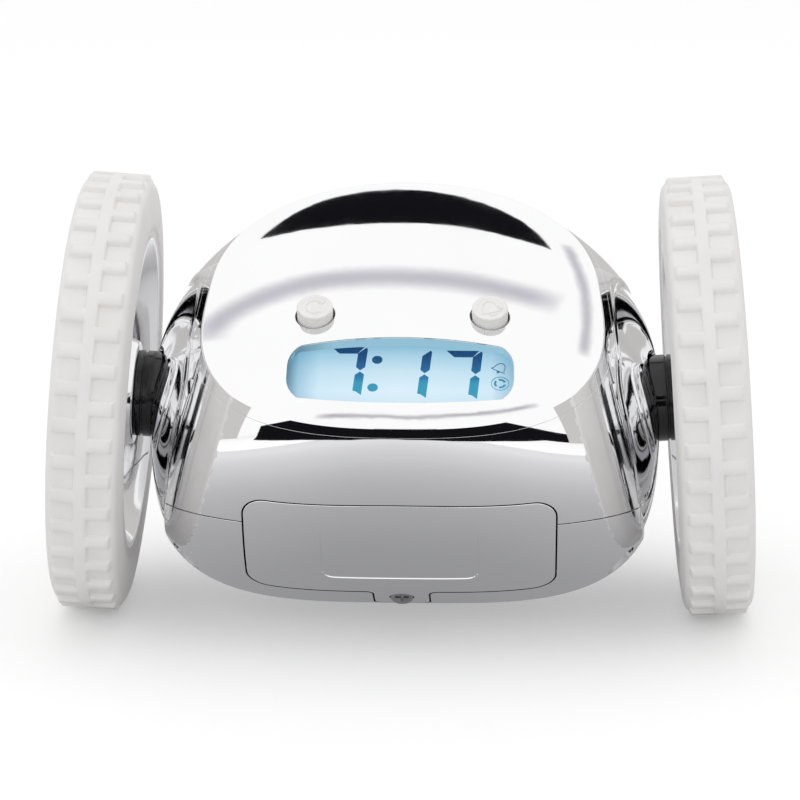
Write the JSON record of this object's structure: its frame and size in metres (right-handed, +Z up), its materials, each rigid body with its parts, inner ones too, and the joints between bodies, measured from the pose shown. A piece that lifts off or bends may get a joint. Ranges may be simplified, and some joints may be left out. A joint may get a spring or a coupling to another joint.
{
  "type": "runaway alarm clock",
  "caption": "Chrome barrel-bodied alarm clock that rolls on two leaning white-tyred wheels, with a domed face, a display window, press buttons and a battery door.",
  "frame": {"origin": "on the floor, right below the middle of the axle line", "axes": "+X along the axle line, to the right as seen from the front, -Y towards the front, +Z up"},
  "size_m": [0.1378, 0.086, 0.0864],
  "materials": {
    "chrome_shell": "mirror-bright chrome plating on moulded plastic",
    "chrome_panel": "mirror-bright chrome plating on moulded plastic",
    "chrome_hub": "mirror-bright chrome plating on moulded plastic",
    "window": "clear moulded lens, polished",
    "display": "pale blue backlit liquid crystal glass",
    "diffuser": "milky light guide",
    "contact_rubber": "conductive rubber strips",
    "board": "green circuit board",
    "black_parts": "black moulded parts",
    "inner_plastic": "natural moulded plastic",
    "cell_sleeve": "plain sleeved cells",
    "contact_metal": "nickel-plated spring steel",
    "screw_steel": "zinc-plated steel",
    "steel": "plain steel",
    "brass": "sintered brass",
    "gear_plastic": "natural acetal",
    "dark_collar": "black gloss",
    "white_rubber": "warm white soft rubber, matt",
    "white_button": "white satin plastic"
  },
  "bodies": {
    "casing": {"upper_shell": "chrome_shell", "lower_shell": "chrome_shell", "face_panel": "chrome_panel", "display_window": "window", "lcd_glass": "display", "backlight": "diffuser", "contact_strips": "contact_rubber", "main_board": "board", "board_parts": "black_parts", "front_switches": "black_parts", "rear_board": "board", "rear_switches": "black_parts", "speaker": "black_parts", "battery_tray": "inner_plastic", "battery_cells": "cell_sleeve", "battery_contacts": "contact_metal", "case_screws": "screw_steel", "board_screws": "screw_steel", "gearbox_screws": "screw_steel", "gearbox_left": "inner_plastic", "gearbox_right": "inner_plastic", "gearbox_cover_left": "inner_plastic", "gearbox_cover_right": "inner_plastic", "bushes_left": "brass", "bushes_right": "brass", "idler_pin_left": "steel", "idler_pin_right": "steel", "motor_left": "steel", "motor_right": "steel"},
    "wheel_left": {"output_gear_left": "gear_plastic", "axle_left": "steel", "collar_left": "dark_collar", "hub_left": "chrome_hub", "tyre_left": "white_rubber", "hub_screw_left": "screw_steel", "hub_cap_left": "chrome_hub"},
    "idler_left": {"idler_gear_left": "gear_plastic"},
    "pinion_left": {"motor_pinion_left": "brass"},
    "wheel_right": {"output_gear_right": "gear_plastic", "axle_right": "steel", "collar_right": "dark_collar", "hub_right": "chrome_hub", "tyre_right": "white_rubber", "hub_screw_right": "screw_steel", "hub_cap_right": "chrome_hub"},
    "idler_right": {"idler_gear_right": "gear_plastic"},
    "pinion_right": {"motor_pinion_right": "brass"},
    "roll_button": {"roll_button": "white_button"},
    "alarm_button": {"alarm_button": "white_button"},
    "hour_button": {"hour_button": "white_button"},
    "minute_button": {"minute_button": "white_button"},
    "time_button": {"time_button": "white_button"},
    "snooze_button": {"snooze_button": "white_button"},
    "battery_door": {"battery_door": "chrome_shell", "door_screw": "screw_steel"}
  },
  "joints": [
    {"name": "wheel_left_spin", "type": "hinge", "parent": "casing", "child": "wheel_left", "pos_m": [-0.059, 0, 0.04319], "axis": [0.9978, 0, -0.0663], "continuous": true},
    {"name": "wheel_right_spin", "type": "hinge", "parent": "casing", "child": "wheel_right", "pos_m": [0.059, 0, 0.04319], "axis": [0.9978, 0, 0.0663], "continuous": true},
    {"name": "idler_left_spin", "type": "hinge", "parent": "casing", "child": "idler_left", "pos_m": [-0.0315, 0.01816, 0.03474], "axis": [0.9978, 0, -0.0663], "continuous": true},
    {"name": "pinion_left_spin", "type": "hinge", "parent": "casing", "child": "pinion_left", "pos_m": [-0.03074, 0.01614, 0.04616], "axis": [0.9978, 0, -0.0663], "continuous": true},
    {"name": "idler_right_spin", "type": "hinge", "parent": "casing", "child": "idler_right", "pos_m": [0.0315, 0.01816, 0.03474], "axis": [0.9978, 0, 0.0663], "continuous": true},
    {"name": "pinion_right_spin", "type": "hinge", "parent": "casing", "child": "pinion_right", "pos_m": [0.03074, 0.01614, 0.04616], "axis": [0.9978, 0, 0.0663], "continuous": true},
    {"name": "roll_button_press", "type": "slide", "parent": "casing", "child": "roll_button", "axis": [0, 0.4939, -0.8695], "range_m": [0, 0.0008], "stiffness_N_per_m": 600, "springref_m": -0.0006},
    {"name": "alarm_button_press", "type": "slide", "parent": "casing", "child": "alarm_button", "axis": [0, 0.4939, -0.8695], "range_m": [0, 0.0008], "stiffness_N_per_m": 600, "springref_m": -0.0006},
    {"name": "hour_button_press", "type": "slide", "parent": "casing", "child": "hour_button", "axis": [0, -0.848, -0.5299], "range_m": [0, 0.0008], "stiffness_N_per_m": 600, "springref_m": -0.0006},
    {"name": "minute_button_press", "type": "slide", "parent": "casing", "child": "minute_button", "axis": [0, -0.848, -0.5299], "range_m": [0, 0.0008], "stiffness_N_per_m": 600, "springref_m": -0.0006},
    {"name": "time_button_press", "type": "slide", "parent": "casing", "child": "time_button", "axis": [0, -0.848, -0.5299], "range_m": [0, 0.0008], "stiffness_N_per_m": 600, "springref_m": -0.0006},
    {"name": "snooze_button_press", "type": "slide", "parent": "casing", "child": "snooze_button", "axis": [0, -0.848, -0.5299], "range_m": [0, 0.0008], "stiffness_N_per_m": 600, "springref_m": -0.0006},
    {"name": "battery_door_slide", "type": "slide", "parent": "casing", "child": "battery_door", "axis": [0, -0.8192, -0.5736], "range_m": [0, 0.012]}
  ],
  "couplings": [
    {"joint": "idler_left_spin", "follows": "wheel_left_spin", "ratio": -3},
    {"joint": "pinion_left_spin", "follows": "wheel_left_spin", "ratio": 10.8},
    {"joint": "idler_right_spin", "follows": "wheel_right_spin", "ratio": -3},
    {"joint": "pinion_right_spin", "follows": "wheel_right_spin", "ratio": 10.8}
  ]
}
